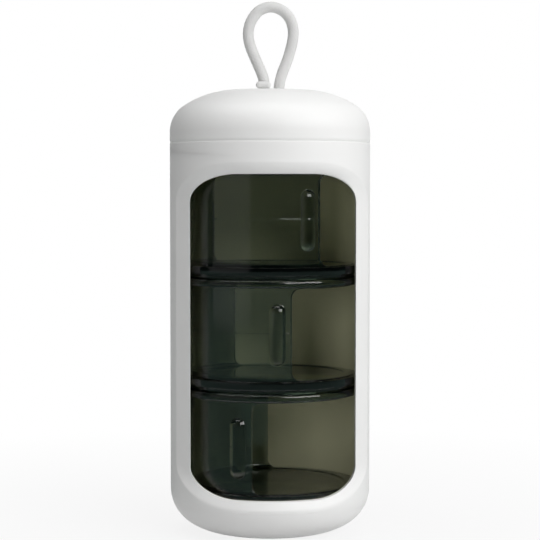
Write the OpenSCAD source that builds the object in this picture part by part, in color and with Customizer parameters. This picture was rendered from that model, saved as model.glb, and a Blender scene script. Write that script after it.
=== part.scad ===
// Travel pill box: a round-ended case with a tall window, a stack of three clear drums that
// turn inside it, and a pull-off domed cap that carries a cord loop.
// Millimetres, +Z up. The origin is the centre of the flat base, and the window faces -Y.
// An angle round the case is counted from the middle of the window, towards +X.

/* [Case] */
// Outer diameter of the case and of the cap
case_d = 42; // [40:0.5:48]
// Wall of the case, and its base
case_wall = 2.1; // [1.8:0.1:2.4]
// Height of the round at the foot of the case
foot_round_h = 9; // [8:0.25:10]
// How far that round reaches in from the wall
foot_round_w = 10.8; // [10:0.2:12]
// Radius of the tighter of its two arcs, next to the wall
foot_arc = 8.3; // [7.5:0.1:8.5]
// Height of the underside of the lower drum above the base
stack_z = 8.1; // [7.5:0.1:9]
// Length of the mouth above the upper drum, which takes the plug of the cap
mouth_h = 4.25; // [3.5:0.25:7]
// Round on the edges that meet at the seam under the cap
seam_round = 0.3; // [0.1:0.05:0.5]

/* [Window] */
// Angle that the window spans, measured at the bore
window_angle = 128; // [110:1:134]
// How far the sill lies under the top of the lower drum's floor
sill_drop = 0.7; // [0:0.1:1]
// How far the head lies under the underside of the upper drum's rim
head_drop = 0.15; // [0:0.05:1]
// Width of a corner round, seen from the front
corner_w = 9.2; // [4:0.2:12]
// Height of a corner round
corner_h = 5.6; // [3:0.2:9]
// Width of the bevel at the sides of the window, seen from the front
bevel_w = 2.9; // [1:0.1:3]
// Height of the bevel above and below the window
bevel_h = 1.9; // [1:0.1:2.2]
// Straight lip left between the bore and the bevel
bevel_lip = 1.2; // [0.3:0.05:1.5]
// Length over which the outer edge of the bevel is softened, above and below the window
bevel_soft = 0.25; // [0.15:0.05:0.5]

/* [Drums] */
// Height of a drum from the underside of its floor to the top of its rim
drum_h = 22.5; // [18:0.25:28]
// Groove that shows between a rim and the floor above it
drum_groove = 0.55; // [0.3:0.05:1]
// Running clearance between a drum and the bore of the case
drum_clear = 0.25; // [0.2:0.05:0.5]
// How far the wall of a drum is set back behind its rim and floor
drum_recess = 1.15; // [1.1:0.05:1.6]
// Wall of a drum
drum_wall = 1.2; // [0.8:0.1:1.6]
// Floor of a drum
floor_t = 1.8; // [1.2:0.1:2.4]
// Height of the rim
rim_h = 1.75; // [1.2:0.05:2.4]
// Round on the outer edges of the rim and the floor
edge_round = 0.45; // [0.2:0.05:0.55]
// Fillet inside, between wall and floor
floor_fillet = 1.2; // [0.5:0.1:2]
// Angle that the opening of a drum spans
opening_angle = 194; // [150:1:210]
// Corner round of the opening
opening_corner = 1.9; // [0.8:0.1:3]
// Strip of wall left above and below the opening
opening_lip = 0.2; // [0.1:0.05:0.6]

/* [Finger ribs] */
// Width of a finger rib where it leaves the wall
rib_w = 3.3; // [2.4:0.1:4]
// Height of a finger rib
rib_h = 12.4; // [8:0.2:15]
// How far a finger rib stands out of the wall
rib_proud = 1; // [0.6:0.05:1.05]
// Distance along the wall from the middle of the rib to the edge of the opening
rib_to_edge = 2.95; // [2.3:0.05:5]

/* [Seats] */
// Depth of the ring under a floor that centres it in the drum below
spigot_h = 1.2; // [0.8:0.1:2]
// Thickness of that ring
spigot_t = 1.2; // [0.8:0.1:2]
// Clearance round that ring
spigot_clear = 0.25; // [0.15:0.05:0.4]
// Width of the land on which a floor turns
land_w = 1.6; // [1:0.1:1.8]
// Gap between faces that rest on each other
seat_gap = 0.05; // [0.02:0.01:0.1]

/* [Cap] */
// Height of the cap above the seam
cap_h = 10.9; // [10:0.1:14]
// Height of the round at the crown
crown_round_h = 8.7; // [7.5:0.1:9]
// How far that round reaches in from the wall
crown_round_w = 13.6; // [12:0.2:15]
// Radius of the tighter of its two arcs, next to the wall
crown_arc = 6.6; // [6:0.1:7]
// Wall of the cap
cap_wall = 2.1; // [1.8:0.1:2.4]
// Height of the collar of the plug that is held inside the cap
collar_h = 2.7; // [2:0.1:3.5]
// Shoulder inside the cap that the collar is pushed up against
shoulder_w = 0.8; // [0.5:0.1:1.2]
// Wall of the plug
plug_wall = 1.4; // [1:0.1:2]
// Disc of the plug, which closes the upper drum
plug_disc_t = 1.5; // [1.2:0.1:2.5]
// Clearance between the plug and the mouth of the case
plug_clear = 0.35; // [0.3:0.05:0.5]
// Clearance of the collar in the cap
collar_clear = 0.05; // [0.03:0.01:0.1]
// How far the snap bead stands out of the plug
bead_proud = 0.28; // [0.15:0.01:0.28]
// Radius of the snap bead
bead_r = 0.6; // [0.4:0.05:0.9]

/* [Cord] */
// Diameter of the cord
cord_d = 2.3; // [1.6:0.1:2.6]
// Clearance round the cord in its slot
slot_clear = 0.2; // [0.1:0.05:0.4]
// Diameter of the knot inside the cap
knot_d = 7.4; // [6.6:0.2:9]
// Height of the knot
knot_h = 4; // [3:0.2:5]
// Round on the edges of the knot
knot_round = 0.9; // [0.5:0.1:1.2]
// Gap between the knot and the crown
knot_gap = 0.35; // [0.3:0.05:0.6]
// Thickness of the cut end that lies across the foot of the loop
tail_d = 1.5; // [1:0.1:1.8]
// Length of that cut end
tail_l = 3.15; // [2:0.05:5]
// How far its middle lies to the left of the left leg
tail_left = 0.3; // [0:0.05:0.8]
// Height of its middle above the crown
tail_z = 1.05; // [0.9:0.05:1.5]

/* [Rest position] */
// Angle of the left edge of the upper drum's opening
upper_turn = 32; // [-180:0.1:180]
// Angle of the left edge of the middle drum's opening
middle_turn = 11; // [-180:0.1:180]
// Angle of the left edge of the lower drum's opening
lower_turn = -16; // [-180:0.1:180]

/* [Hidden] */
$fn = 96;

// How far a cutting shape reaches past what it cuts
over = 1;
// Steps of a faceted corner round, of a faceted edge that follows the case, and of a soft edge
corner_steps = 10;
edge_steps = 20;
soft_steps = 5;
// Steps of the plain stretch of a drum's opening
opening_steps = 48;
// Steps of the cord between two points of its route, and sides of its tube
cord_steps = 3;
cord_sides = 8;

// Case: outer radius, bore, and the height of the seam
case_r = case_d / 2;
bore_r = case_r - case_wall;
pitch = drum_h + drum_groove;
plug_z = stack_z + 3 * pitch;
seam_z = plug_z + mouth_h;
crown_z = seam_z + cap_h;

// Drum radii, and the heights of its rim and opening above the underside of its floor
flange_r = bore_r - drum_clear;
drum_ro = flange_r - drum_recess;
drum_ri = drum_ro - drum_wall;
rim_z = drum_h - rim_h;
opening_low = floor_t + opening_lip;
opening_high = rim_z - opening_lip;
spigot_ro = drum_ri - spigot_clear;
spigot_ri = spigot_ro - spigot_t;
land_r = drum_ri + land_w;
land_h = drum_groove - seat_gap;
ledge_z = stack_z - land_h - seat_gap;

// Window edges, and half its width seen from the front
window_half = bore_r * sin(window_angle / 2);
window_low = stack_z + floor_t - sill_drop;
window_high = stack_z + 2 * pitch + rim_z - head_drop;

// Finger rib: radius of its round back, from its width and how far it stands out
rib_r = (pow(rib_w / 2, 2) + pow(rib_proud, 2)) / (2 * rib_proud);

// Plug and snap bead
plug_r = bore_r - plug_clear;
collar_r = bore_r - collar_clear;
collar_z = seam_z + seat_gap;
bead_z = seam_z - mouth_h / 2;
bead_c = plug_r + bead_proud - bead_r;

// Route of the cord: across, and height above the crown. It leaves the knot, passes the slot,
// goes round the loop and comes back through the same slot.
ROUTE = [
    [-1.2, -1.3], [-1.2, 0.5], [-1.3, 2.1], [-1.8, 3.7], [-2.5, 5.3], [-3.2, 6.9], [-3.9, 8.6],
    [-4.4, 10.3], [-4.55, 11.9], [-4.3, 13.5], [-3.5, 15.2], [-2.1, 16.7], [0.2, 17.4],
    [2.5, 16.7], [4, 15.2], [4.7, 13.5], [4.9, 11.9], [4.7, 10.2], [4.3, 8.5], [3.8, 6.8],
    [3.2, 5.2], [2.6, 3.7], [2.15, 2.1], [1.9, 0.5], [1.9, -1.3],
];
leg_l = ROUTE[0][0];
leg_r = ROUTE[len(ROUTE) - 1][0];
knot_x = (leg_l + leg_r) / 2;
knot_top = crown_z - cap_wall - knot_gap;
slot_r = cord_d / 2 + slot_clear;

// Flat shapes

// Quarter of an oval in the first quadrant, a wide and b high, from two arcs that run into each
// other. r1 is the arc at the wide end.
module quarter_oval(a, b, r1) {
    r2 = (a * a + b * b - 2 * a * r1) / (2 * (b - r1));
    join_x = (a - r1) * r2 / (r2 - r1);
    intersection() {
        translate([0, b - r2]) circle(r2);
        square([join_x, b]);
    }
    intersection() {
        translate([a - r1, 0]) circle(r1);
        translate([join_x, 0]) square([a - join_x, b]);
    }
}

// Bar from x0 to x1 and h high, with round corners at its x1 end
module bar(x0, x1, h, r) {
    translate([x0, 0]) square([x1 - x0 - r, h]);
    translate([x1 - r - over / 2, r]) square([r + over / 2, h - 2 * r]);
    translate([x1 - r, r]) circle(r);
    translate([x1 - r, h - r]) circle(r);
}

// What a round of radius r takes off a corner at the origin that points to +X and +Y
module corner_cut(r) {
    difference() {
        translate([-r, -r]) square(r + over);
        translate([-r, -r]) circle(r);
        translate([-r - over, -r - over]) square([r + over, 2 * r + 3 * over]);
        translate([-r - over, -r - over]) square([2 * r + 3 * over, r + over]);
    }
}

// Foot of the case, down to z = 0, as a half section: inset 0 is the outside
module foot_section(inset) {
    w = foot_round_w - inset;
    h = foot_round_h - inset;
    in_x = case_r - foot_round_w;
    translate([in_x, foot_round_h]) mirror([0, 1]) quarter_oval(w, h, foot_arc - inset);
    translate([0, inset]) square([in_x, h]);
}

// Crown of the cap as a half section: inset 0 is the outside
module crown_section(inset) {
    w = crown_round_w - inset;
    h = crown_round_h - inset;
    in_x = case_r - crown_round_w;
    translate([in_x, crown_z - crown_round_h]) quarter_oval(w, h, crown_arc - inset);
    translate([0, crown_z - crown_round_h]) square([in_x, h]);
}

// Lofts

// Solid through a list of closed rings, each with the same number of points
module loft(rings) {
    n = len(rings[0]);
    last = len(rings) - 1;
    walls = [
        for (k = [0:last - 1], i = [0:n - 1])
            let (a = k * n + i, b = k * n + (i + 1) % n)
                each [[a, a + n, b], [b, a + n, b + n]],
    ];
    ends = [[for (i = [0:n - 1]) i], [for (i = [n - 1:-1:0]) last * n + i]];
    polyhedron(points = [for (ring = rings) each ring], faces = concat(walls, ends));
}

// One quarter of a round-cornered outline, q = 0 at the upper right and on anticlockwise
function outline_corner(q, half_w, low, high, w, h) =
    let (side = (q == 0 || q == 3) ? 1 : -1)
    let (mid = (q < 2) ? high - h : low + h)
    [
        for (i = [0:corner_steps])
            let (t = 90 * (q + i / corner_steps))
                [side * (half_w - w) + w * cos(t), mid + h * sin(t)],
    ];

// Points between the ends of a level edge
function outline_run(from, to, z) =
    [for (i = [1:edge_steps - 1]) [from + (to - from) * i / edge_steps, z]];

// Round-cornered outline, half_w to each side, as [across, height] points
function outline(half_w, low, high, w, h) = concat(
    outline_corner(0, half_w, low, high, w, h),
    outline_run(half_w - w, w - half_w, high),
    outline_corner(1, half_w, low, high, w, h),
    outline_corner(2, half_w, low, high, w, h),
    outline_run(w - half_w, half_w - w, low),
    outline_corner(3, half_w, low, high, w, h)
);

// A point at an angle round the case
function around(r, angle, z) = [r * sin(angle), -r * cos(angle), z];

// Outer radius of the case at a height, on its wall and on the tighter arc of its foot
function case_at(z) =
    let (down = max(foot_round_h - z, 0))
        case_r - foot_arc + sqrt(pow(foot_arc, 2) - pow(down, 2));

// Window outline, widened by a share of the bevel, at a depth below the outside of the case. It
// is drawn in the front view and cut straight back, so its corners look the same as on the flat.
function window_ring(depth, share) =
    let (w = share * bevel_w)
    let (h = share * bevel_h)
    [
        for (p = outline(window_half + w, window_low - h, window_high + h, corner_w + w, corner_h + h))
            [p[0], -sqrt(pow(case_at(p[1]) - depth, 2) - pow(p[0], 2)), p[1]],
    ];

// Opening of a drum as [distance round the wall, lift of its lower edge] steps from end to end.
// The upper edge drops as much as the lower one lifts, in the round corners.
opening_half = drum_ro * opening_angle / 2 * PI / 180;
opening_flat = opening_half - opening_corner;
opening_end = [
    for (i = [0:corner_steps])
        let (t = 90 * i / corner_steps)
            [opening_half - opening_corner * (1 - cos(t)), opening_corner * (1 - sin(t))],
];
opening_line = concat(
    [for (i = [0:corner_steps]) [-opening_end[i][0], opening_end[i][1]]],
    [for (i = [1:opening_steps - 1]) [opening_flat * (2 * i / opening_steps - 1), 0]],
    [for (i = [corner_steps:-1:0]) opening_end[i]]
);

// Cross-section of the opening's cutting shape, from in_r to out_r, at one such step
function opening_ring(step, in_r, out_r) =
    let (angle = step[0] / drum_ro * 180 / PI)
    let (low = opening_low + step[1])
    let (high = opening_high - step[1])
    [
        around(out_r, angle, low), around(in_r, angle, low),
        around(in_r, angle, high), around(out_r, angle, high),
    ];

// The same ring laid flat on the plane at y, to close a loft
function flat_ring(ring, y) = [for (p = ring) [p[0], y, p[2]]];

// Bevel of the window: rings from its inner edge, at the lip, along the flat slope to its outer
// edge, which is softened and leaves the outside of the case a hair above its surface
bevel_lift = 0.03;
bevel_ease = bevel_soft / bevel_h;
bevel_in = window_ring(case_wall - bevel_lip, 0);
bevel_edge = window_ring(0, 1);
bevel_out = window_ring(-bevel_lift, 1 + bevel_ease);
bevel_rings = [
    bevel_in,
    for (i = [0:soft_steps])
        let (t = i / soft_steps)
        let (a = bevel_edge + bevel_ease * (bevel_in - bevel_edge))
            pow(1 - t, 2) * a + 2 * t * (1 - t) * bevel_edge + pow(t, 2) * bevel_out,
];

// Curve through the points of a route, with cord_steps steps to a stretch
function route_at(p, i, t) =
    let (last = len(p) - 1)
    let (b = p[i])
    let (c = p[i + 1])
    let (a = (i == 0) ? 2 * b - c : p[i - 1])
    let (d = (i + 1 == last) ? 2 * c - b : p[i + 2])
    0.5 * (2 * b + (c - a) * t + (2 * a - 5 * b + 4 * c - d) * t * t
        + (3 * b - a - 3 * c + d) * t * t * t);
function route_curve(p) = concat(
    [for (i = [0:len(p) - 2], k = [0:cord_steps - 1]) route_at(p, i, k / cord_steps)],
    [p[len(p) - 1]]
);

// Rings of a tube along a level curve of [across, height] points
function tube_rings(curve, d) =
    let (last = len(curve) - 1)
    [
        for (i = [0:last])
            let (step = curve[min(i + 1, last)] - curve[max(i - 1, 0)])
            let (along = (i == 0 || i == last) ? [0, (i == 0) ? 1 : -1] : step / norm(step))
                [
                    for (k = [0:cord_sides - 1])
                        let (t = 360 * (k + 0.5) / cord_sides)
                        let (out = d / 2 / cos(180 / cord_sides))
                            [
                                curve[i][0] + out * cos(t) * along[1],
                                out * sin(t),
                                curve[i][1] - out * cos(t) * along[0],
                            ],
                ],
    ];

// Sub-parts

// Cutting shape of the window: straight through the wall, out along the bevel and clear of the
// case
module window_cut() {
    loft(concat(
        [flat_ring(bevel_in, 0)],
        bevel_rings,
        [flat_ring(bevel_out, -case_r - over)]
    ));
}

// Case: a thin moulded tube with a rounded foot, a ledge for the lower drum, a bore that guides
// all three drums, a mouth with a groove for the snap bead, and the bevelled window
module shell() {
    color("white")
    difference() {
        rotate_extrude()
        difference() {
            union() {
                foot_section(0);
                translate([0, foot_round_h]) square([case_r, seam_z - foot_round_h]);
            }
            translate([0, ledge_z]) square([bore_r, seam_z - ledge_z + over]);
            intersection() {
                foot_section(case_wall);
                square([spigot_ro + spigot_clear, ledge_z + over]);
            }
            translate([0, foot_round_h - over])
                square([spigot_ro + spigot_clear, ledge_z - foot_round_h + 2 * over]);
            translate([case_r, seam_z]) corner_cut(seam_round);
            translate([bead_c, bead_z]) circle(bead_r + plug_clear);
        }
        window_cut();
    }
}

// Cap: a domed shell with the outside diameter of the case, a shoulder for the plug and a slot
// at the crown for the two legs of the cord
module cap() {
    color("white")
    difference() {
        rotate_extrude()
        difference() {
            union() {
                crown_section(0);
                translate([0, collar_z]) square([case_r, crown_z - crown_round_h - collar_z]);
            }
            intersection() {
                union() {
                    crown_section(cap_wall);
                    square([bore_r, crown_z - crown_round_h]);
                }
                square([bore_r - shoulder_w, crown_z]);
            }
            square([bore_r, seam_z + collar_h + 2 * seat_gap]);
            translate([case_r, collar_z]) mirror([0, 1]) corner_cut(seam_round);
        }
        translate([0, 0, crown_z - cap_wall - over]) linear_extrude(cap_wall + 2 * over) {
            translate([leg_l, 0]) circle(slot_r);
            translate([leg_r, 0]) circle(slot_r);
            translate([leg_l, -slot_r]) square([leg_r - leg_l, 2 * slot_r]);
        }
    }
}

// Seat under a floor, as a half section below z = 0: a land to turn on, and the spigot
module floor_seat() {
    translate([spigot_ri, -land_h]) square([land_r - spigot_ri, land_h + seat_gap]);
    translate([spigot_ri, -land_h - spigot_h]) square([spigot_t, spigot_h + seat_gap]);
}

// Plug: the cup that closes the cap from below, covers the knot and stops the mouth of the case.
// Its disc sits on the rim of the upper drum as a floor does.
module cap_plug() {
    color("whitesmoke")
    rotate_extrude() {
        translate([0, plug_z]) {
            bar(0, plug_r, plug_disc_t, edge_round);
            floor_seat();
        }
        translate([plug_r - plug_wall, plug_z + plug_disc_t / 2])
            square([plug_wall, seam_z + collar_h - plug_z - plug_disc_t / 2]);
        translate([plug_r - plug_wall, collar_z + seat_gap])
            square([collar_r - plug_r + plug_wall, collar_h - 2 * seat_gap]);
        intersection() {
            translate([bead_c, bead_z]) circle(bead_r);
            translate([plug_r - plug_wall / 2, plug_z]) square([plug_wall, mouth_h]);
        }
    }
}

// Half section of a drum, with the underside of its floor at z = 0
module drum_section() {
    bar(0, flange_r, floor_t, edge_round);
    translate([0, rim_z]) bar(drum_ri, flange_r, rim_h, edge_round);
    translate([drum_ri, floor_t / 2]) square([drum_wall, drum_h - floor_t / 2 - rim_h / 2]);
    difference() {
        translate([drum_ri - floor_fillet, floor_t - over / 2])
            square([floor_fillet + drum_wall / 2, floor_fillet + over / 2]);
        translate([drum_ri - floor_fillet, floor_t + floor_fillet]) circle(floor_fillet);
    }
    floor_seat();
}

// Finger rib: a round-backed bar on the wall with round ends, at angle 0
module finger_rib() {
    axis_r = drum_ro + rib_proud - rib_r;
    reach = rib_h / 2 - rib_w / 2;
    difference() {
        translate([0, -axis_r, (floor_t + rim_z) / 2]) {
            translate([0, 0, -reach]) cylinder(r = rib_r, h = 2 * reach);
            translate([0, 0, -reach]) sphere(rib_r);
            translate([0, 0, reach]) sphere(rib_r);
        }
        cylinder(r = drum_ro - drum_wall / 2, h = drum_h);
    }
}

// Cutting shape of a drum's opening, with its middle at angle 0
module opening_cut() {
    in_r = drum_ri - floor_fillet - over / 2;
    out_r = flange_r + over;
    loft([for (step = opening_line) opening_ring(step, in_r, out_r)]);
}

// Drum: an open-topped clear cup, walled half way round, with a rib beside the edge of its
// opening to turn it by. turn is the angle of that edge.
module drum(level, turn) {
    color("dimgray", 0.6)
    translate([0, 0, stack_z + level * pitch]) rotate([0, 0, turn]) {
        difference() {
            rotate_extrude() drum_section();
            rotate([0, 0, opening_angle / 2]) opening_cut();
        }
        rotate([0, 0, -rib_to_edge / drum_ro * 180 / PI]) finger_rib();
    }
}

module upper_drum() drum(2, upper_turn);
module middle_drum() drum(1, middle_turn);
module lower_drum() drum(0, lower_turn);

// Cord loop: one soft round cord whose two legs pass the slot in the crown to the knot
module lanyard_loop() {
    inside = knot_top - crown_z;
    legs = [[leg_l, inside], each ROUTE, [leg_r, inside]];
    color("gainsboro") translate([0, 0, crown_z]) loft(tube_rings(route_curve(legs), cord_d));
}

// Knot that joins the two legs inside the cap and cannot pass the slot
module lanyard_knot() {
    color("gainsboro")
    translate([knot_x, 0, knot_top - knot_h])
    rotate_extrude() bar(0, knot_d / 2, knot_h, knot_round);
}

// Cut end of the cord, which lies across the front of the left leg at its foot
module lanyard_tail() {
    reach = tail_l - tail_d;
    color("gainsboro")
    translate([leg_l - tail_left, -(cord_d + tail_d) / 2 - 2 * seat_gap, crown_z + tail_z]) {
        rotate([0, 90, 0]) cylinder(d = tail_d, h = reach, center = true);
        translate([-reach / 2, 0, 0]) sphere(d = tail_d);
        translate([reach / 2, 0, 0]) sphere(d = tail_d);
    }
}

shell();
cap();
cap_plug();
upper_drum();
middle_drum();
lower_drum();
lanyard_loop();
lanyard_knot();
lanyard_tail();
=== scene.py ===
"""Travel pill box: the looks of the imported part, in the frame of its solids. Shapes are worked
out in mm, and solid() turns them to metres."""
import math

import bmesh
import bpy
import numpy as np
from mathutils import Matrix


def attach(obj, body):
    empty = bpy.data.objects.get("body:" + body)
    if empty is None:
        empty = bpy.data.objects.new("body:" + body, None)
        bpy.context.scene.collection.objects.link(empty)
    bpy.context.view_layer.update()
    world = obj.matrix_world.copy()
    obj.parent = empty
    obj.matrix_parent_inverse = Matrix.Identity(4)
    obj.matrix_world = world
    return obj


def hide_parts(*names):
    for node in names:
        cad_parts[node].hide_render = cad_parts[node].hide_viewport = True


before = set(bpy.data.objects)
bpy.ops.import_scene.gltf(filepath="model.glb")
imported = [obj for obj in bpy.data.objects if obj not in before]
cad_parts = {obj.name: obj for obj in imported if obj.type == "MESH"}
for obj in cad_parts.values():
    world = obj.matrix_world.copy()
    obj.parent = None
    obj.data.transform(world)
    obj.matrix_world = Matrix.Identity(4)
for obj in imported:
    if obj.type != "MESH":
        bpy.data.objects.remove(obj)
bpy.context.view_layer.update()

# View: a long lens, a little above the middle of the box and a little to the left of the
# middle of its window, with no shift.
scene = bpy.context.scene
scene.view_settings.view_transform = "Standard"
view = bpy.data.objects.new("view", bpy.data.cameras.new("view"))
scene.collection.objects.link(view)
scene.camera = view
VIEW_TURN, VIEW_TILT, VIEW_FAR, VIEW_HEIGHT = -3.6, -2.86, 0.3577, 0.0726
LENS, SENSOR, CLIP = 113.3, 36, 0.01
view.data.lens, view.data.sensor_width, view.data.clip_start = LENS, SENSOR, CLIP
view.location = (VIEW_FAR * math.sin(math.radians(VIEW_TURN)),
                 -VIEW_FAR * math.cos(math.radians(VIEW_TURN)), VIEW_HEIGHT)
view.rotation_euler = (math.radians(90 + VIEW_TILT), 0, math.radians(VIEW_TURN))

# Cord loop: a soft round cord, an elastic core in a white braided polyester cover.
# Both its legs go down through the slot in the crown of the cap to one knot.
CROWN_Z = 92.4
CORD_D, CORD_SIDES, CORD_STEP, ROUTE_STEPS = 2.3, 60, 0.12, 12
BRAID_DEPTH, CARRIERS, PITCH = 0.07, 10, 0.85
LEG_L, LEG_R, LEG_END = -1.2, 1.9, -2.45
ROUTE = np.array([
    [LEG_L, LEG_END], [LEG_L, -1.3], [-1.2, 0.5], [-1.3, 2.1], [-1.8, 3.7], [-2.5, 5.3],
    [-3.2, 6.9], [-3.9, 8.6], [-4.4, 10.3], [-4.55, 11.9], [-4.3, 13.5], [-3.5, 15.2],
    [-2.1, 16.7], [0.2, 17.4], [2.5, 16.7], [4, 15.2], [4.7, 13.5], [4.9, 11.9], [4.7, 10.2],
    [4.3, 8.5], [3.8, 6.8], [3.2, 5.2], [2.6, 3.7], [2.15, 2.1], [1.9, 0.5], [LEG_R, -1.3],
    [LEG_R, LEG_END],
])


def smooth_route(points, steps):
    """Cubic through the points: on each stretch, the curve whose slope at a point is half the
    step between that point's neighbours, at evenly spaced shares of the stretch."""
    p = np.concatenate([[2 * points[0] - points[1]], points, [2 * points[-1] - points[-2]]])
    t = np.linspace(0, 1, steps, endpoint=False)[None, :, None]
    a, b, c, d = (p[i:len(p) - 3 + i, None] for i in range(4))
    run = 0.5 * (2 * b + (c - a) * t + (2 * a - 5 * b + 4 * c - d) * t**2
                 + (3 * b - a - 3 * c + d) * t**3)
    return np.concatenate([run.reshape(-1, points.shape[1]), points[-1:]])


def distance_along(path):
    """Distance of each point from the start of a path, by the straight steps between points."""
    return np.concatenate([[0], np.cumsum(np.linalg.norm(np.diff(path, axis=0), axis=1))])


def even(path, spacing):
    """The same path with points at an even spacing, by its length along each stretch."""
    along = distance_along(path)
    at = np.linspace(0, along[-1], int(along[-1] / spacing) + 1)
    return np.stack([np.interp(at, along, path[:, i]) for i in range(path.shape[1])], 1)


def braid(turn, along, carriers, pitch):
    """Height from 0 to 1 of a plain braid at an angle (in turns) and a distance along: two
    families of strands wind opposite ways, and the cells where they cross are pillows, longer
    the way of the strand that is on top, which alternates from cell to cell."""
    p, q = carriers * turn + along / pitch, carriers * turn - along / pitch
    over = (np.floor(p) + np.floor(q)) % 2
    across = np.abs(np.sin(np.pi * np.where(over, p, q)))
    length = np.abs(np.sin(np.pi * np.where(over, q, p)))
    return across**0.7 * length**0.3


def braided(size):
    """Radius of a braided cord, as a function of the turn and the distance along: its size at
    the top of each pillow, less the depth of the braid between them."""
    return lambda turn, along: size - BRAID_DEPTH * (1 - braid(turn, along, CARRIERS, PITCH))


def tube(path, radius, up, endless=False):
    """A profile carried along a path: each ring stands square to the path, its points at
    radius(turn, along) from it, counted from the direction square to the path and to up. It
    closes on the two ends of the path or, where the path is endless, on its own first ring."""
    ahead = np.gradient(path, axis=0)
    ahead /= np.linalg.norm(ahead, axis=1, keepdims=True)
    side = np.cross(ahead, up)
    side /= np.linalg.norm(side, axis=1, keepdims=True)
    turn = np.linspace(0, 1, CORD_SIDES + 1)
    r = radius(turn[None, :], distance_along(path)[:, None])[..., None]
    angle = 2 * np.pi * turn[None, :, None]
    rings = path[:, None] + r * (np.cos(angle) * side[:, None]
                                 + np.sin(angle) * np.cross(side, ahead)[:, None])
    if endless:
        return np.concatenate([rings[:-1], rings[:1]])
    return np.concatenate([0 * rings[:1] + path[0], rings, 0 * rings[:1] + path[-1]])


def cells(grid, start=0):
    """Faces between each four neighbours of a grid of points (rows, columns, 3), as the points'
    numbers, counted on from start."""
    i = start + np.arange(grid.shape[0] * grid.shape[1]).reshape(grid.shape[:2])
    return np.stack([i[:-1, :-1], i[:-1, 1:], i[1:, 1:], i[1:, :-1]], -1).reshape(-1, 4)


def solid(name, grids, body, material):
    """One mesh from grids of points in mm, welded where grids meet, with normals turned outwards
    and smooth shading, riding on a body."""
    points = [grid.reshape(-1, 3) for grid in grids]
    starts = np.cumsum([0] + [len(p) for p in points])
    mesh = bpy.data.meshes.new(name)
    mesh.from_pydata(np.concatenate(points) * 0.001, [],
                     np.concatenate([cells(grid, start) for grid, start in zip(grids, starts)]))
    built = bmesh.new()
    built.from_mesh(mesh)
    bmesh.ops.remove_doubles(built, verts=built.verts, dist=1e-6)
    bmesh.ops.recalc_face_normals(built, faces=built.faces)
    built.to_mesh(mesh)
    built.free()
    mesh.shade_smooth()
    mesh.materials.append(material)
    piece = bpy.data.objects.new(name, mesh)
    scene.collection.objects.link(piece)
    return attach(piece, body)


def linear(hex_colour):
    """sRGB hex as the linear colour that a socket takes."""
    s = np.array([int(hex_colour[i:i + 2], 16) for i in (1, 3, 5)]) / 255
    return (*np.where(s <= 0.04045, s / 12.92, ((s + 0.055) / 1.055)**2.4), 1.0)


def feed(tree, node, inputs):
    """Sets a node's sockets, each to a value or by a link from another socket."""
    for socket, value in inputs.items():
        if isinstance(value, bpy.types.NodeSocket):
            tree.links.new(value, node.inputs[socket])
        else:
            node.inputs[socket].default_value = value
    return node


def add(tree, kind, inputs, **settings):
    """Adds a node of a kind: settings are its own fields, inputs its sockets."""
    made = tree.nodes.new("ShaderNode" + kind)
    for field, value in settings.items():
        setattr(made, field, value)
    return feed(tree, made, inputs)


def new_material(name):
    """A new material, its node tree, its Principled shader and its Object coordinates."""
    made = bpy.data.materials.new(name)
    made.use_nodes = True
    tree = made.node_tree
    place = add(tree, "TexCoord", {}).outputs["Object"]
    return made, tree, tree.nodes["Principled BSDF"], place


# Braided polyester: matt white yarn, which scatters light softly at its edges; the yarn's
# filaments, about 0.05 mm, are drawn at 0.12 mm so that they show.
polyester_braid, tree, yarn, place = new_material("polyester_braid")
filaments = add(tree, "TexNoise", {"Vector": place, "Scale": 1 / 0.00012, "Detail": 2.0,
                                   "Roughness": 0.6})
patches = add(tree, "TexNoise", {"Vector": place, "Scale": 1 / 0.004, "Detail": 3.0})
yarn_tone = add(tree, "Mix", {"Factor": patches.outputs["Fac"], "A": linear("#d3d3d2"),
                              "B": linear("#e1e1e0")}, data_type="RGBA")
fuzz = add(tree, "Bump", {"Height": filaments.outputs["Fac"], "Strength": 0.35,
                          "Distance": 0.00004})
feed(tree, yarn, {"Base Color": yarn_tone.outputs["Result"], "Normal": fuzz.outputs["Normal"],
                  "Roughness": 0.9, "Specular IOR Level": 0.3, "Sheen Weight": 0.25,
                  "Sheen Roughness": 0.5})

level = smooth_route(ROUTE, ROUTE_STEPS)
cord_path = even(np.stack([level[:, 0], 0 * level[:, 0], CROWN_Z + level[:, 1]], 1), CORD_STEP)
loop = solid("cord_loop", [tube(cord_path, braided(CORD_D / 2), (0, 1, 0))], "cap",
             polyester_braid)
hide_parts("lanyard_loop")

# Knot: the two ends of the cord tied in an overhand knot inside the cap, pulled tight, too
# wide to pass the slot. It is the same cord, flattened a little by the pull.
KNOT_MIDDLE = np.array([0.35, 0, 87.95])
KNOT_R, KNOT_SPREAD, KNOT_RISE = 0.92, 0.9, 1.02
t = np.linspace(0, 2 * np.pi, 240)
overhand = np.column_stack([np.sin(t) + 2 * np.sin(2 * t), np.cos(t) - 2 * np.cos(2 * t)])
knot_path = KNOT_MIDDLE + np.column_stack([overhand * KNOT_SPREAD, -np.sin(3 * t) * KNOT_RISE])
knot = solid("cord_knot", [tube(knot_path, braided(KNOT_R), (0, 0, 1), endless=True)], "cap",
             polyester_braid)
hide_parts("lanyard_knot")

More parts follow.
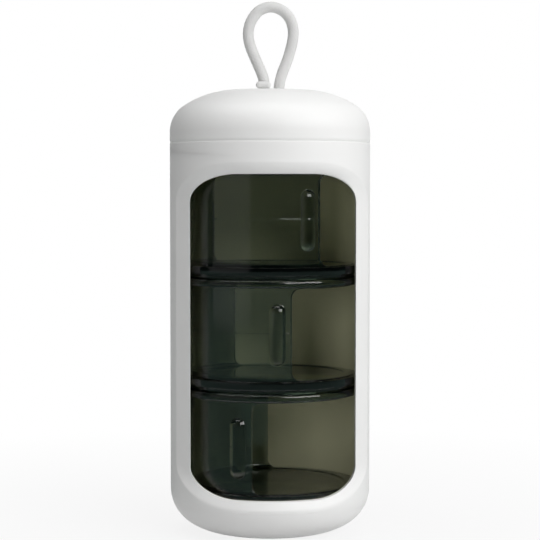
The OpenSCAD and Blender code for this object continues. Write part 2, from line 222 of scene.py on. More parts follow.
# Cut end: the trimmed end of the cord, singed to a round so that the braid doesn't fray. It
# lies across the front of the left leg, at its foot.
TAIL_MIDDLE = np.array([LEG_L - 0.3, -2.0, CROWN_Z + 1.05])
TAIL_D, TAIL_L, SINGED_L = 1.5, 3.15, 0.6
TAIL_BRAID, TAIL_CARRIERS, TAIL_PITCH = 0.05, 8, 0.8
t = np.linspace(0, np.pi, 60)
tail_path = TAIL_MIDDLE + np.column_stack([-TAIL_L / 2 * np.cos(t), 0 * t, 0 * t])


def singed(turn, along):
    """Radius of a rod with round ends: full in the middle, a quarter circle at each end, less
    the braid, which fades out where the end is singed."""
    to_end = np.minimum(along, TAIL_L - along)
    short = np.clip(TAIL_D / 2 - to_end, 0, TAIL_D / 2)
    full = np.sqrt(np.maximum((TAIL_D / 2)**2 - short**2, 0))
    weave = TAIL_BRAID * (1 - braid(turn, along, TAIL_CARRIERS, TAIL_PITCH))
    return full - weave * np.clip(to_end / SINGED_L, 0, 1)


tail = solid("cord_end", [tube(tail_path, singed, (0, 0, 1))], "cap", polyester_braid)
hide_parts("lanyard_tail")

# Case: one moulding of white ABS, a tube of 2.1 mm wall with a rounded foot, an open mouth and
# a tall window cut straight back. The window's bevel is flat, with a soft outer edge, and rolls
# over at its head. The three drums stand in the bore.
CASE_R, BORE_R, WALL = 21.0, 18.9, 2.1
FOOT_W, FOOT_H, FOOT_ARC = 10.8, 9.0, 8.3
LEDGE_Z, LEDGE_R, SEAM_Z = 7.55, 16.3, 81.5
MOUTH_LOW, MOUTH_IN, MOUTH_OUT = 80.5, 0.2, 0.35
WINDOW_ANGLE, WINDOW_LOW, WINDOW_HIGH, WINDOW_ROWS = 128, 9.2, 74.8, 61
WINDOW_HALF = BORE_R * math.sin(math.radians(WINDOW_ANGLE / 2))
CORNER_W, CORNER_H, CORNER_STEPS = 9.2, 5.6, 8
BEVEL_W, BEVEL_H, BEVEL_LIP = 2.9, 1.9, 1.2
GROOVE_R, GROOVE_Z, GROOVE_C = 0.95, 79.375, 18.23
LATHE_STEPS = 120
LATHE_TURN = np.linspace(-180, 180, LATHE_STEPS + 1)


def rounded(corners, steps=8):
    """Profile through corners (r, z, round): at each one between the ends, an arc of that
    radius, tangent to both of its sides, in even steps of angle."""
    c = np.array(corners, float)
    line = [c[:1, :2]]
    for before, (x, z, radius), after in zip(c[:-2, :2], c[1:-1], c[2:, :2]):
        if radius == 0:
            line.append([[x, z]])
            continue
        a, b = before - (x, z), after - (x, z)
        a, b = a / np.linalg.norm(a), b / np.linalg.norm(b)
        half = np.arccos(np.clip(a @ b, -1, 1)) / 2
        centre = (x, z) + (a + b) / np.linalg.norm(a + b) * radius / np.sin(half)
        start = (x, z) + a * radius / np.tan(half) - centre
        end = (x, z) + b * radius / np.tan(half) - centre
        sweep = np.linspace(0, np.pi - 2 * half, steps + 1)[:, None]
        line.append(centre + (np.sin(np.pi - 2 * half - sweep) * start + np.sin(sweep) * end)
                    / np.sin(np.pi - 2 * half))
    line.append(c[-1:, :2])
    return np.concatenate(line)


def oval(width, height, arc, steps=20):
    """Quarter of an oval from (width, 0) to (0, height) in two arcs that run into each other:
    the tighter one, of radius arc, next to the wall, then the flatter one."""
    flat = (width**2 + height**2 - 2 * width * arc) / (2 * (height - arc))
    join = math.atan2(flat - height, width - arc)
    t = np.linspace(0, join, steps)
    u = np.linspace(join, np.pi / 2, steps)[1:]
    return np.concatenate([
        np.column_stack([width - arc + arc * np.cos(t), arc * np.sin(t)]),
        np.column_stack([flat * np.cos(u), height - flat + flat * np.sin(u)])])


def around(r, angle, z):
    """Points at radius r, at an angle in degrees from the middle of the window, at height z."""
    r, angle, z = np.broadcast_arrays(r, np.radians(angle), z)
    return np.stack([r * np.sin(angle), -r * np.cos(angle), z], -1)


def lathe(profile):
    """A profile of (r, z) points turned about the axis of the case."""
    return around(profile[:, None, 0], LATHE_TURN[None, :], profile[:, None, 1])


def frame_line(half, low, high, corner_w, corner_h, side_z):
    """Round-cornered outline as (across, height) points, from the middle of the lower left
    corner on round to the same point: along the foot, up the right side, along the head and
    down the left. Corners are quarter ovals; side_z are the heights of the points on a side."""
    t = np.radians(np.linspace(45, 0, CORNER_STEPS + 1))
    run = np.linspace(-1, 1, LATHE_STEPS + 1 - 2 * CORNER_STEPS) * (half - corner_w)
    arc = np.column_stack([-(half - corner_w) - corner_w * np.sin(t),
                           low + corner_h - corner_h * np.cos(t)])
    foot = np.concatenate([arc[:-1], np.column_stack([run, 0 * run + low]),
                           (arc * (-1, 1))[-2::-1]])
    t = np.radians(np.linspace(45, 90, CORNER_STEPS + 1))
    arc = np.column_stack([half - corner_w + corner_w * np.sin(t),
                           low + corner_h - corner_h * np.cos(t)])
    side = np.concatenate([arc, np.column_stack([0 * side_z + half, side_z]),
                           (arc * (1, -1) + (0, low + high))[::-1]])
    head = foot * (-1, -1) + (0, low + high)
    return np.concatenate([foot[:-1], side[:-1], head[:-1], side[::-1] * (-1, 1)])


def frame_border(line, low, high):
    """The edge of the unrolled wall, one point for each point of such an outline: evenly spaced
    angles along the lower and upper edges, and the outline's own heights, stretched to reach
    from edge to edge, up the back."""
    turn = LATHE_TURN
    z = line[LATHE_STEPS:(len(line) + 1) // 2, 1]
    z = low + (high - low) * (z - z[0]) / (z[-1] - z[0])
    return np.concatenate([
        np.column_stack([turn, 0 * turn + low])[:-1], np.column_stack([0 * z + 180, z])[:-1],
        np.column_stack([-turn, 0 * turn + high])[:-1],
        np.column_stack([0 * z - 180, z[::-1]])])


def case_outside(z):
    """Outer radius of the case at a height: its wall, and the two arcs of its foot below."""
    flat = (FOOT_W**2 + FOOT_H**2 - 2 * FOOT_W * FOOT_ARC) / (2 * (FOOT_H - FOOT_ARC))
    join = FOOT_ARC * math.sin(math.atan2(flat - FOOT_H, FOOT_W - FOOT_ARC))
    down = np.clip(FOOT_H - z, 0, FOOT_H)
    steep = FOOT_W - FOOT_ARC + np.sqrt(np.maximum(FOOT_ARC**2 - down**2, 0))
    gentle = np.sqrt(np.maximum(flat**2 - (down - FOOT_H + flat)**2, 0))
    return CASE_R - FOOT_W + np.where(down < join, steep, gentle)


def window_line(share):
    """Outline of the window, widened by a share of its bevel (one for all points or one for
    each), as (across, height) in the front view. The corners are quarter ovals."""
    side_z = np.linspace(WINDOW_LOW + CORNER_H, WINDOW_HIGH - CORNER_H, WINDOW_ROWS)[1:-1]
    tight = frame_line(WINDOW_HALF, WINDOW_LOW, WINDOW_HIGH, CORNER_W, CORNER_H, side_z)
    wide = frame_line(WINDOW_HALF + BEVEL_W, WINDOW_LOW - BEVEL_H, WINDOW_HIGH + BEVEL_H,
                      CORNER_W + BEVEL_W, CORNER_H + BEVEL_H, side_z)
    return tight + share * (wide - tight)


def window_ring(share, inset):
    """The widened outline put straight back onto the wall, inset below its outside, and never
    past the bore."""
    line = window_line(share)
    r = np.maximum(case_outside(line[:, 1]) - inset, BORE_R)
    return np.column_stack([line[:, 0], -np.sqrt(r**2 - line[:, 0]**2), line[:, 1]])


def curve(start, bend, end, shares):
    """Rings between two rings, on the parabola that leaves the first towards a third ring, the
    bend, and comes into the last from it."""
    t = np.asarray(shares)[:, None, None]
    return (1 - t)**2 * start + 2 * t * (1 - t) * bend + t**2 * end


def toward(ring, aim, distance):
    """A ring moved towards another by a distance."""
    way = aim - ring
    return ring + way / np.linalg.norm(way, axis=1, keepdims=True) * distance


def softened(before, corner, after, distance):
    """Rings that round off a corner ring between two others, from a distance before it to the
    same distance after it."""
    return curve(toward(corner, before, distance), corner, toward(corner, after, distance),
                 np.linspace(0, 1, BEND_ROWS))


def unrolled(ring):
    """A ring of points as (angle from the middle of the window, height)."""
    return np.column_stack([np.degrees(np.arctan2(ring[:, 0], -ring[:, 1])), ring[:, 2]])


def blend(line, border, shares):
    """Points on straight lines from each point of an outline to its point of a border, in the
    unrolled wall: share 0 is the outline, share 1 the border."""
    s = np.asarray(shares)[:, None, None]
    return (1 - s) * line[None] + s * border[None]


SKIN_LOW, SKIN_HIGH, BORE_HIGH = 5.4, 81.0, 78.5
SKIN_REACH, SKIN_ROWS, BORE_REACH, BORE_ROWS, CROWDING = 1.25, 33, 0.2, 25, 1.3
BEND_ROWS, BEVEL_FROM, BEVEL_TO, JOIN_GAP = 7, 0.16, 0.7, 0.1
LIP_BACK, LIP_FRONT, SIDE_SOFT, SILL_SOFT = 0.12, 0.25, 0.3, 0.5
HEAD_DEPTH, HEAD_REACH, HEAD_SKIN = 0.4, 0.4, 0.6
rise = (window_line(1)[:, 1:] - window_line(0)[:, 1:]) / BEVEL_H
head, sill = np.clip(rise, 0, 1)**2, np.clip(-rise, 0, 1)**2
skin_share, bevel_share = SKIN_REACH + HEAD_SKIN * head, 1 + HEAD_REACH * head
bore_edge, skin_edge = window_ring(BORE_REACH, WALL), window_ring(skin_share, 0)
lip_back, outer = window_ring(0, WALL), window_ring(bevel_share, 0)
lip_front = window_ring(0, WALL - BEVEL_LIP + HEAD_DEPTH * head[:, 0])
roll = (1 - head) * (lip_front + outer) / 2 + head * window_ring(bevel_share / 2, 0)
soft = SIDE_SOFT + (SILL_SOFT - SIDE_SOFT) * sill
edge = np.concatenate([
    bore_edge[None],
    softened(bore_edge, lip_back, lip_front, LIP_BACK),
    softened(lip_back, lip_front, roll, LIP_FRONT),
    curve(lip_front, roll, outer, np.linspace(BEVEL_FROM, BEVEL_TO, BEND_ROWS)),
    softened(roll, outer, skin_edge, soft),
    skin_edge[None]])
skin = blend(unrolled(skin_edge), frame_border(window_line(skin_share), SKIN_LOW, SKIN_HIGH),
             np.linspace(0, 1, SKIN_ROWS)**CROWDING)
bore = blend(unrolled(bore_edge), frame_border(window_line(BORE_REACH), LEDGE_Z, BORE_HIGH),
             np.linspace(0, 1, BORE_ROWS)**CROWDING)
foot = oval(FOOT_W, FOOT_H, FOOT_ARC) * (1, -1) + (CASE_R - FOOT_W, FOOT_H)
foot = np.concatenate([[[case_outside(SKIN_LOW), SKIN_LOW]],
                       foot[foot[:, 1] < SKIN_LOW - JOIN_GAP], [[0, 0]]])
bowl = oval(FOOT_W - WALL, FOOT_H - WALL, FOOT_ARC - WALL) * (1, -1) + (CASE_R - FOOT_W, FOOT_H)
bowl = np.concatenate([[[BORE_R, LEDGE_Z], [LEDGE_R, LEDGE_Z]], bowl[bowl[:, 0] < LEDGE_R],
                       [[0, WALL]]])
catch = math.acos((BORE_R - GROOVE_C) / GROOVE_R)
t = np.linspace(-catch, catch, 13)
mouth = np.concatenate([
    [[BORE_R, BORE_HIGH]],
    np.column_stack([GROOVE_C + GROOVE_R * np.cos(t), GROOVE_Z + GROOVE_R * np.sin(t)]),
    rounded([(BORE_R, MOUTH_LOW, 0), (BORE_R, SEAM_Z, MOUTH_IN), (CASE_R, SEAM_Z, MOUTH_OUT),
             (CASE_R, SKIN_HIGH, 0)])])

# White ABS, moulded in a finely blasted tool: satin, with a soft broad highlight and a grain of
# about 0.15 mm that only shows close to. In the bore, from the ledge to just under the mouth,
# a pale olive is painted on: painted light, the tint of the light that reaches the white bore
# through the smoke drums.
white_abs, tree, plastic, place = new_material("white_abs")
grain = add(tree, "TexNoise", {"Vector": place, "Scale": 1 / 0.00015, "Detail": 2.0})
flow = add(tree, "TexNoise", {"Vector": place, "Scale": 1 / 0.03, "Detail": 2.0})
tone = add(tree, "Mix", {"Factor": flow.outputs["Fac"], "A": linear("#f1f1f0"),
                         "B": linear("#f5f5f4")}, data_type="RGBA")
satin = add(tree, "MapRange", {"Value": grain.outputs["Fac"], "From Min": 0.3, "From Max": 0.7,
                               "To Min": 0.45, "To Max": 0.55})
blasted = add(tree, "Bump", {"Height": grain.outputs["Fac"], "Strength": 0.06,
                             "Distance": 0.00002})
flat = add(tree, "VectorMath", {0: place, 1: (1, 1, 0)}, operation="MULTIPLY")
out = add(tree, "VectorMath", {0: flat.outputs["Vector"]}, operation="LENGTH")
height = add(tree, "SeparateXYZ", {0: place})
inside = add(tree, "MapRange", {"Value": out.outputs["Value"], "From Min": 0.0189,
                                "From Max": 0.0193, "To Min": 1.0, "To Max": 0.0})
below = add(tree, "MapRange", {"Value": height.outputs["Z"], "From Min": 0.074,
                               "From Max": 0.0775, "To Min": 1.0, "To Max": 0.0})
above = add(tree, "MapRange", {"Value": height.outputs["Z"], "From Min": 0.0072,
                               "From Max": 0.0076, "To Min": 0.0, "To Max": 1.0})
level_share = add(tree, "Math", {0: below.outputs["Result"], 1: above.outputs["Result"]},
                  operation="MULTIPLY")
# Painted light: the bore's pale olive stands for light tinted by the smoke drums, painted into
# its colour.
painted_olive_share = add(tree, "Math", {0: inside.outputs["Result"], 1: level_share.outputs[0]},
                 operation="MULTIPLY")
shade = add(tree, "Mix", {"Factor": painted_olive_share.outputs[0], "A": tone.outputs["Result"],
                          "B": linear("#f6f4cc")}, data_type="RGBA")
feed(tree, plastic, {"Base Color": shade.outputs["Result"], "Roughness": satin.outputs["Result"],
                     "Normal": blasted.outputs["Normal"], "IOR": 1.53})

case = solid("case", [
    edge, around(case_outside(skin[..., 1]), skin[..., 0], skin[..., 1]),
    around(BORE_R, bore[..., 0], bore[..., 1]), lathe(foot), lathe(bowl), lathe(mouth),
], "shell", white_abs)
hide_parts("shell")

# Drums: three clear smoke-tinted mouldings of AS plastic, each a cup walled half way round,
# with a rib beside the edge of its opening. They stand on each other by the ring under each
# floor and are turned by a finger on the rib.
DRUM_Z, DRUM_PITCH, DRUM_H = 8.1, 23.05, 22.5
DRUM_TURNS = {"lower_drum": -16, "middle_drum": 11, "upper_drum": 32}
FLANGE_R, DRUM_RO, DRUM_RI = 18.65, 17.5, 16.3
FLOOR_T, RIM_H, FILLET = 1.8, 1.75, 1.2
EDGE_ROUND, RIM_ROUND, FLOOR_ROUND = 0.45, 0.9, 0.05
OPEN_ANGLE, OPEN_CORNER, OPEN_LIP, OPEN_EDGE, OPEN_ROWS = 194, 1.9, 0.2, 0.12, 75
RIB_W, RIB_H, RIB_PROUD, RIB_TO_EDGE, RIB_FILLET = 3.3, 12.4, 1.0, 2.95, 0.006
RIB_END = RIB_H / 2 + np.linspace(-2, 0.2, 45)
SPIGOT_RI, SPIGOT_RO, SPIGOT_H, LAND_R, LAND_H = 14.85, 16.05, 1.2, 17.9, 0.5
OPEN_HALF = math.radians(OPEN_ANGLE / 2) * DRUM_RO
RIM_Z = DRUM_H - RIM_H
WALL_MIDDLE = (FLOOR_T + RIM_Z) / 2
LINE_Z, LINE_HALF, LINE_PROUD = DRUM_H / 2 + 0.3, 0.12, 0.035


def opening_line(wider):
    """Outline of a drum's opening, widened, as (angle from its middle, height): straight sides
    and round corners, measured along the outside of the wall. Its heights lie closer together
    at the two ends of the rib and on the mould line."""
    low, high = FLOOR_T + OPEN_LIP, RIM_Z - OPEN_LIP
    even_z = np.linspace(low + OPEN_CORNER, high - OPEN_CORNER, OPEN_ROWS)[1:-1]
    side_z = np.sort(np.concatenate([even_z, LINE_Z + LINE_HALF * np.linspace(-1, 1, 9),
                                     WALL_MIDDLE - RIB_END, WALL_MIDDLE + RIB_END]))
    line = frame_line(OPEN_HALF + wider, low - wider, high + wider, OPEN_CORNER + wider,
                      OPEN_CORNER + wider, side_z)
    return np.column_stack([np.degrees(line[:, 0] / DRUM_RO), line[:, 1]])


def drum_outside(angle, z):
    """Outer radius of a drum's wall. The rib is a round back on a spine: its height is that of
    a circle over the distance from the spine, eased into the wall at its foot as the mean of
    itself and the root of its square plus the fillet. A fine raised line runs round at mid
    height, where the halves of the mould met."""
    across = np.radians(angle) * DRUM_RO + OPEN_HALF + RIB_TO_EDGE
    beyond = np.maximum(np.abs(z - WALL_MIDDLE) - (RIB_H - RIB_W) / 2, 0)
    back = (RIB_W**2 / 4 + RIB_PROUD**2) / (2 * RIB_PROUD)
    sunk = back - RIB_PROUD
    rib = np.sqrt(np.maximum(back**2 - across**2 - beyond**2, 0)) - sunk
    rib = 0.5 * (rib + np.sqrt(rib**2 + RIB_FILLET) - np.sqrt(sunk**2 + RIB_FILLET) + sunk)
    line = LINE_PROUD * np.clip(1 - ((z - LINE_Z) / LINE_HALF)**2, 0, 1)
    return DRUM_RO + rib + line


def drum_inside(z):
    """Inner radius of a drum's wall, with its fillet to the floor."""
    short = np.clip(FLOOR_T + FILLET - z, 0, FILLET)
    return DRUM_RI - FILLET + np.sqrt(np.maximum(FILLET**2 - short**2, 0))


WELD = 0.01
WALL_LOW, WALL_HIGH = FLOOR_T + WELD, RIM_Z - WELD
NEAR_RIB, NEAR_ROWS, FAR_ROWS, INNER_ROWS = 6, 76, 17, 19
wall, cut_from = DRUM_RO - DRUM_RI, OPEN_EDGE + WELD
cut = rounded([(wall, cut_from, 0), (wall, 0, OPEN_EDGE), (0, 0, OPEN_EDGE), (0, cut_from, 0)], 4)
rings = np.stack([opening_line(wider) for wider in cut[:, 1]])
outside = drum_outside(rings[..., 0], rings[..., 1])
depth = cut[:, :1] / wall
end_face = around((1 - depth) * outside + depth * drum_inside(rings[..., 1]),
                  rings[..., 0], rings[..., 1])
to_back = np.pi * DRUM_RO - OPEN_HALF
steps = np.concatenate([np.linspace(0, NEAR_RIB, NEAR_ROWS),
                        np.linspace(NEAR_RIB, to_back, FAR_ROWS)[1:]])
skin = blend(rings[-1], frame_border(rings[-1], WALL_LOW, WALL_HIGH), steps / to_back)
inner = blend(rings[0], frame_border(rings[0], WALL_LOW, WALL_HIGH),
              np.linspace(0, 1, INNER_ROWS))
rim = rounded([
    (DRUM_RO, WALL_HIGH, 0), (DRUM_RO, RIM_Z, 0), (FLANGE_R, RIM_Z, EDGE_ROUND),
    (FLANGE_R, DRUM_H, RIM_ROUND), (DRUM_RI, DRUM_H, 0.3), (DRUM_RI, WALL_HIGH, 0)])
under = rounded([
    (DRUM_RO, WALL_LOW, 0), (DRUM_RO, FLOOR_T, 0), (FLANGE_R, FLOOR_T, FLOOR_ROUND),
    (FLANGE_R, 0, EDGE_ROUND), (LAND_R, 0, 0.1), (LAND_R, -LAND_H, 0.1),
    (SPIGOT_RO, -LAND_H, 0.1), (SPIGOT_RO, -LAND_H - SPIGOT_H, 0.2),
    (SPIGOT_RI, -LAND_H - SPIGOT_H, 0.2), (SPIGOT_RI, 0, 0.2), (0, 0, 0)], 6)
floor_top = np.array([[drum_inside(WALL_LOW), WALL_LOW], [DRUM_RI - FILLET, FLOOR_T],
                      [0, FLOOR_T]])
drum_grids = [
    end_face, around(drum_outside(skin[..., 0], skin[..., 1]), skin[..., 0], skin[..., 1]),
    around(drum_inside(inner[..., 1]), inner[..., 0], inner[..., 1]),
    lathe(rim), lathe(under), lathe(floor_top)]

# Smoke AS plastic: clear, polished, tinted grey-green in the mass, so a wall of 1.2 mm passes
# about half of the light and the thicker floors and rims look nearly black. Its polish varies
# over about 8 mm, and its face has a faint ripple of about 5 mm from the mould.
smoke_as, tree, clear, place = new_material("smoke_as")
haze = add(tree, "TexNoise", {"Vector": place, "Scale": 1 / 0.008, "Detail": 3.0})
polish = add(tree, "MapRange", {"Value": haze.outputs["Fac"], "From Min": 0.35,
                                "From Max": 0.7, "To Min": 0.03, "To Max": 0.1})
ripple = add(tree, "TexNoise", {"Vector": place, "Scale": 1 / 0.005, "Detail": 1.0})
moulded = add(tree, "Bump", {"Height": ripple.outputs["Fac"], "Strength": 0.012,
                             "Distance": 0.0001})
WHITE = linear("#ffffff")
feed(tree, clear, {"Base Color": WHITE, "Roughness": polish.outputs["Result"],
                   "Normal": moulded.outputs["Normal"], "IOR": 1.57, "Transmission Weight": 1})
tint = add(tree, "VolumeAbsorption", {"Color": linear("#6f8d6f"), "Density": 740.0})
feed(tree, tree.nodes["Material Output"], {"Volume": tint.outputs["Volume"]})

for stage_up, (name, turn) in enumerate(DRUM_TURNS.items()):
    c, s = np.cos(np.radians(turn + OPEN_ANGLE / 2)), np.sin(np.radians(turn + OPEN_ANGLE / 2))
    spin = np.array([[c, s, 0], [-s, c, 0], [0, 0, 1]])
    lift = (0, 0, DRUM_Z + stage_up * DRUM_PITCH)
    drum = solid(name.replace("drum", "clear_drum"), [g @ spin + lift for g in drum_grids],
                 name, smoke_as)
    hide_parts(name)

# Plug: a cup of white polypropylene pressed into the cap. It hides the knot, stops the mouth of
# the case with a snap bead, and its foot covers the upper drum.
PLUG_Z, PLUG_R, PLUG_WALL, DISC_T = 77.25, 18.55, 1.4, 1.5
COLLAR_R, COLLAR_LOW, COLLAR_HIGH = 18.85, 81.6, 84.2
BEAD_R, BEAD_LOW, BEAD_HIGH = 0.6, 78.5, 81
catch = math.acos((PLUG_R - GROOVE_C) / BEAD_R)
t = np.linspace(catch, -catch, 9)
cup = np.concatenate([
    rounded([(0, PLUG_Z + DISC_T, 0), (PLUG_R - PLUG_WALL, PLUG_Z + DISC_T, 0.4),
             (PLUG_R - PLUG_WALL, COLLAR_HIGH, 0.2), (COLLAR_R, COLLAR_HIGH, 0.2),
             (COLLAR_R, COLLAR_LOW, 0.1), (PLUG_R, COLLAR_LOW, 0.1), (PLUG_R, BEAD_HIGH, 0)]),
    np.column_stack([GROOVE_C + BEAD_R * np.cos(t), GROOVE_Z + BEAD_R * np.sin(t)]),
    rounded([(PLUG_R, BEAD_LOW, 0), (PLUG_R, PLUG_Z, EDGE_ROUND), (LAND_R, PLUG_Z, 0.1),
             (LAND_R, PLUG_Z - LAND_H, 0.1), (SPIGOT_RO, PLUG_Z - LAND_H, 0.1),
             (SPIGOT_RO, PLUG_Z - LAND_H - SPIGOT_H, 0.2),
             (SPIGOT_RI, PLUG_Z - LAND_H - SPIGOT_H, 0.2), (SPIGOT_RI, PLUG_Z, 0.2),
             (0, PLUG_Z, 0)])])

# White polypropylene: softer and waxier than the case, with a faint cloudiness of about 5 mm.
white_pp, tree, waxy, place = new_material("white_pp")
cloud = add(tree, "TexNoise", {"Vector": place, "Scale": 1 / 0.005, "Detail": 3.0})
milk = add(tree, "Mix", {"Factor": cloud.outputs["Fac"], "A": linear("#e7e7e4"),
                         "B": linear("#f0f0ee")}, data_type="RGBA")
wax = add(tree, "MapRange", {"Value": cloud.outputs["Fac"], "From Min": 0.3, "From Max": 0.7,
                             "To Min": 0.42, "To Max": 0.52})
feed(tree, waxy, {"Base Color": milk.outputs["Result"], "Roughness": wax.outputs["Result"],
                  "IOR": 1.49})

plug = solid("cap_cup", [lathe(cup)], "cap", white_pp)
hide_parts("cap_plug")

# Cap: a domed cover of the same white ABS as the case, with the same outside diameter. Its edge
# tucks in a hair, so the round on the case's mouth shows as a fine pale seam. The cord comes up
# through a slot with a rounded lip at its crown.
CAP_LOW, CAP_BORE_TOP, SHOULDER_R = 81.55, 84.3, 18.1
DOME_W, DOME_H, DOME_ARC = 13.6, 8.7, 6.6
SLOT_R, SLOT_HALF, SLOT_MIDDLE = 1.35, (LEG_R - LEG_L) / 2, (LEG_L + LEG_R) / 2
CROWN_FLAT, INNER_FLAT, LIP_OUT, LIP_IN = 6.5, 5.5, 0.9, 0.5
TUCK_IN, TUCK_DOWN, TUCK_H, EDGE_W, SKIRT_Z = 0.12, 0.1, 0.4, 0.4, 83


def slot_line(wider, z):
    """Outline of the slot, widened, at height z: two half circles about the two legs, the point
    for each angle of the lathe, joined by the straight sides."""
    a = np.radians(LATHE_TURN)
    x = SLOT_MIDDLE + SLOT_HALF * np.sign(np.round(np.sin(a), 9)) + (SLOT_R + wider) * np.sin(a)
    return np.column_stack([x, -(SLOT_R + wider) * np.cos(a), 0 * a + z])


lip = rounded([(LIP_OUT, CROWN_Z, 0), (0, CROWN_Z, 0.5), (0, CROWN_Z - WALL, 0.2),
               (LIP_IN, CROWN_Z - WALL, 0)])
dome_foot = (CASE_R - DOME_W, CROWN_Z - DOME_H)
dome = oval(DOME_W, DOME_H, DOME_ARC) + dome_foot
hollow = oval(DOME_W - WALL, DOME_H - WALL, DOME_ARC - WALL) + dome_foot
hollow = hollow[hollow[:, 0] < SHOULDER_R - JOIN_GAP]
cover = np.concatenate([
    [[CROWN_FLAT, CROWN_Z]], dome[::-1],
    rounded([(CASE_R, SKIRT_Z, 0), (CASE_R, CAP_LOW + TUCK_H, 0.5),
             (CASE_R - TUCK_IN, CAP_LOW - TUCK_DOWN, 0.02), (CASE_R - EDGE_W, CAP_LOW, 0.2),
             (BORE_R, CAP_LOW, 0.2), (BORE_R, CAP_BORE_TOP, 0), (SHOULDER_R, CAP_BORE_TOP, 0),
             (SHOULDER_R, hollow[0, 1] - 0.15, 0)]),
    hollow, [[INNER_FLAT, CROWN_Z - WALL]]])
slot_edge = np.stack([slot_line(wider, z) for wider, z in lip])
top_ring = around(CROWN_FLAT, LATHE_TURN, CROWN_Z)
low_ring = around(INNER_FLAT, LATHE_TURN, CROWN_Z - WALL)
cap = solid("cap_cover", [
    slot_edge, blend(slot_edge[0], top_ring, np.linspace(0, 1, 9)), lathe(cover),
    blend(slot_edge[-1], low_ring, np.linspace(0, 1, 7))], "cap", white_abs)
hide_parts("cap")

# Floor and light: a plain pale floor under a white surround, a broad soft lamp high on the
# right, and weaker panels at the front, the back, both sides and above that fill its shadows.
FLOOR_R = 0.9
t, far = np.linspace(0, 2 * np.pi, 97), np.array([0, 0.03, 0.08, 0.2, 0.45, FLOOR_R])
disc = np.stack(np.broadcast_arrays(far[:, None] * np.cos(t), far[:, None] * np.sin(t),
                                    np.zeros(1)), -1)
mesh = bpy.data.meshes.new("floor")
mesh.from_pydata(disc.reshape(-1, 3), [], cells(disc)[:, ::-1])
floor = bpy.data.objects.new("floor", mesh)
scene.collection.objects.link(floor)

# Painted board: matt white, with a soft shadow close to the box. The camera and glass see it
# white. A mirror sees it white behind the box and close to it, and grey-green in front.
board, tree, matt, place = new_material("painted_board")
feed(tree, matt, {"Base Color": linear("#d2d2d2"), "Roughness": 0.9})
BEHIND = {"From Min": 0.85, "From Max": 1.0}
reach = add(tree, "VectorMath", {0: place}, operation="LENGTH")
fade = add(tree, "MapRange", {"Value": reach.outputs["Value"], "From Min": 0.02,
                              "From Max": 0.15, "To Min": 0.86, "To Max": 1.0})


def seen_by_eye(tree):
    """Two shares of a ray: 1 where the camera sends it, straight or by way of mirrors and glass
    alone, and 0 where a matt surface sends it on; then 1 where a mirror sends it."""
    ray = add(tree, "LightPath", {})
    bounced = add(tree, "Math", {0: ray.outputs["Is Glossy Ray"],
                                 1: ray.outputs["Is Transmission Ray"]}, operation="MAXIMUM")
    either = add(tree, "Math", {0: bounced.outputs[0], 1: ray.outputs["Is Camera Ray"]},
                 operation="MAXIMUM")
    first = add(tree, "Math", {0: ray.outputs["Diffuse Depth"], 1: 0.5}, operation="LESS_THAN")
    return add(tree, "Math", {0: either.outputs[0], 1: first.outputs[0]},
               operation="MULTIPLY").outputs[0], ray.outputs["Is Glossy Ray"]


def room_colour(tree, glossy, pale, front):
    """White, but for a mirror's ray: that sees the front colour, and white by the pale share."""
    mirrored = add(tree, "Mix", {"Factor": pale, "A": linear(front), "B": WHITE},
                   data_type="RGBA")
    return add(tree, "Mix", {"Factor": glossy, "A": WHITE, "B": mirrored.outputs["Result"]},
               data_type="RGBA").outputs["Result"]


seen, glossy = seen_by_eye(tree)
split = add(tree, "SeparateXYZ", {0: place})
back = add(tree, "Math", {0: split.outputs["Y"], 1: reach.outputs["Value"]}, operation="DIVIDE")
behind = add(tree, "MapRange", {"Value": back.outputs[0], **BEHIND})
near = add(tree, "MapRange", {"Value": reach.outputs["Value"], "From Min": 0.03,
                              "From Max": 0.055, "To Min": 1.0, "To Max": 0.0})
pale = add(tree, "Math", {0: behind.outputs["Result"], 1: near.outputs["Result"]},
           operation="MAXIMUM")
shown = room_colour(tree, glossy, pale.outputs[0], "#6a807a")
share = add(tree, "Mix", {"Factor": glossy, "A": fade.outputs["Result"], "B": 1.0})
white = add(tree, "Math", {0: seen, 1: share.outputs["Result"]}, operation="MULTIPLY")
glow = add(tree, "Emission", {"Color": shown, "Strength": 1.0})
both = add(tree, "MixShader", {0: white.outputs[0], 1: matt.outputs[0], 2: glow.outputs[0]})
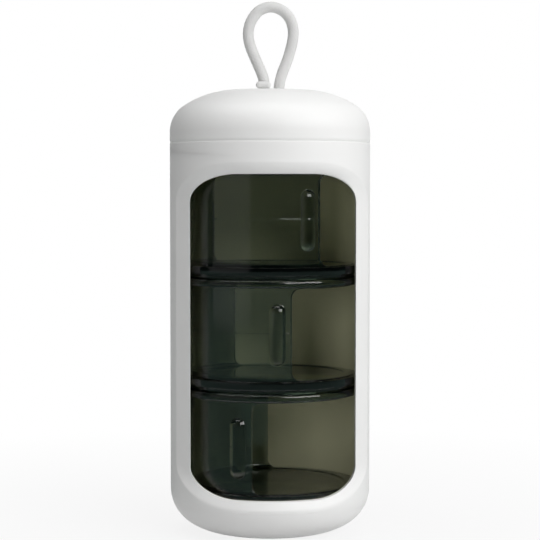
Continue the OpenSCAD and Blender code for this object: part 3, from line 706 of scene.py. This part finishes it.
feed(tree, tree.nodes["Material Output"], {"Surface": both.outputs[0]})
mesh.materials.append(board)

# Surround: white behind the box. In front it is a dim room, which a mirror shows as dark
# grey-green and which gives matt surfaces a weak even fill.
world = bpy.data.worlds.new("studio")
scene.world = world
world.use_nodes = True
tree = world.node_tree
way = add(tree, "TexCoord", {}).outputs["Generated"]
split = add(tree, "SeparateXYZ", {0: way})
seen, glossy = seen_by_eye(tree)
behind = add(tree, "MapRange", {"Value": split.outputs["Y"], **BEHIND})
shown = room_colour(tree, glossy, behind.outputs["Result"], "#26302f")
sky = add(tree, "Mix", {"Factor": seen, "A": linear("#272727"), "B": shown}, data_type="RGBA")
feed(tree, tree.nodes["Background"], {"Color": sky.outputs["Result"], "Strength": 1})


def lamp(name, turn, height, far, size, tilt, brightness, mirrored=True):
    """A soft panel lamp, at an angle round the box from the view's own, a height above the
    floor and a distance from the axis, tilted down to the box, of an even brightness where 1 is
    white. The camera sees none. One that isn't mirrored gives no highlight and isn't seen
    through glass."""
    light = bpy.data.lights.new(name, "AREA")
    light.shape, light.energy = "RECTANGLE", brightness * np.pi * size[0] * size[1]
    light.size, light.size_y = size
    turn = math.radians(turn + VIEW_TURN)
    made = bpy.data.objects.new(name, light)
    made.location = (far * math.sin(turn), -far * math.cos(turn), height)
    made.rotation_euler = (math.radians(90 - tilt), 0, turn)
    made.visible_camera = False
    made.visible_glossy = made.visible_transmission = mirrored
    scene.collection.objects.link(made)


lamp("key", 46, 0.48, 0.75, (0.8, 0.45), 30, 4.5)
lamp("side", -55, 0.15, 0.45, (0.5, 0.29), 5, 0.2)
lamp("front", -15, 0.18, 0.8, (0.22, 0.3), 8, 3.4, False)
lamp("right", 95, 0.14, 0.5, (0.25, 0.35), 8, 1.5, False)
lamp("left", -80, 0.85, 0.4, (0.5, 0.5), 62, 1.6)
lamp("top", 5, 0.75, 0.05, (0.5, 0.5), 86, 2.3)
lamp("back", 162, 0.25, 0.6, (0.4, 0.5), 15, 2.2, False)
